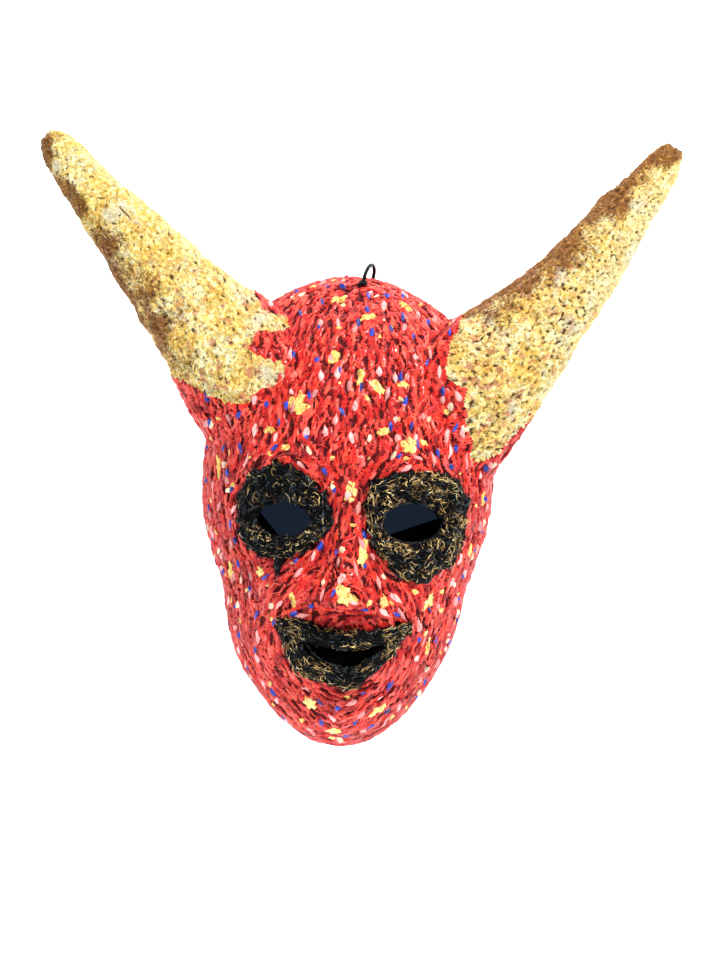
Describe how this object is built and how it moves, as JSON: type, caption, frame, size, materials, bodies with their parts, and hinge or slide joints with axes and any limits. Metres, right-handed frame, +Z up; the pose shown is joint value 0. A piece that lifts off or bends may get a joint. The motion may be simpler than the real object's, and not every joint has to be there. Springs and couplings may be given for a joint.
{
  "type": "folk art mask",
  "caption": "Hollow horned devil mask of painted paper pulp, with eye holes, an open mouth and a cord loop at the crown to hang it by.",
  "frame": {"origin": "on the wall plane that the open back's rim lies in, on the face's centre line at the height of the eyes", "axes": "+Z up towards the crown, +Y out of the open back towards the wall, -Y the way the face looks, +X to the viewer's right"},
  "size_m": [0.3446, 0.1034, 0.3331],
  "materials": {
    "paper_shell": "layers of pasted paper, painted navy black inside, matt",
    "red_pulp": "rough strands of dried red paper pulp under a satin varnish",
    "wad_pulp": "plain grey-brown pulp, hidden",
    "black_pulp": "tangled black pulp strands, some of them gilded, satin",
    "card": "rolled brown card, hidden",
    "gold_pulp": "crumpled pulp rubbed with gold, brown in the hollows",
    "cord": "black waxed cord",
    "gold_leaf": "gold-coloured leaf on scraps of paper",
    "blue_paper": "scraps of blue paper, satin",
    "pink_paper": "scraps of pink paper, satin",
    "cream_paper": "scraps of cream paper, satin"
  },
  "bodies": {
    "mask": {"paper_shell": "paper_shell", "red_pulp_skin": "red_pulp", "nose_wad": "wad_pulp", "left_eye_rim": "black_pulp", "right_eye_rim": "black_pulp", "upper_lip": "black_pulp", "lower_lip": "black_pulp", "left_horn_cone": "card", "right_horn_cone": "card", "left_horn_skin": "gold_pulp", "right_horn_skin": "gold_pulp", "left_horn_root": "gold_pulp", "right_horn_root": "gold_pulp", "hanger_inner_run": "cord", "gold_flakes": "gold_leaf", "blue_flakes": "blue_paper", "pink_flakes": "pink_paper", "cream_flakes": "cream_paper"},
    "hanger": {"hanger_loop": "cord", "hanger_knot": "cord"}
  },
  "joints": [
    {"name": "loop_swing", "type": "hinge", "parent": "mask", "child": "hanger", "pos_m": [0.004, -0.0355, 0.1285], "axis": [0.2143, 0.9481, 0.2349], "range_deg": [-35, 35]}
  ]
}
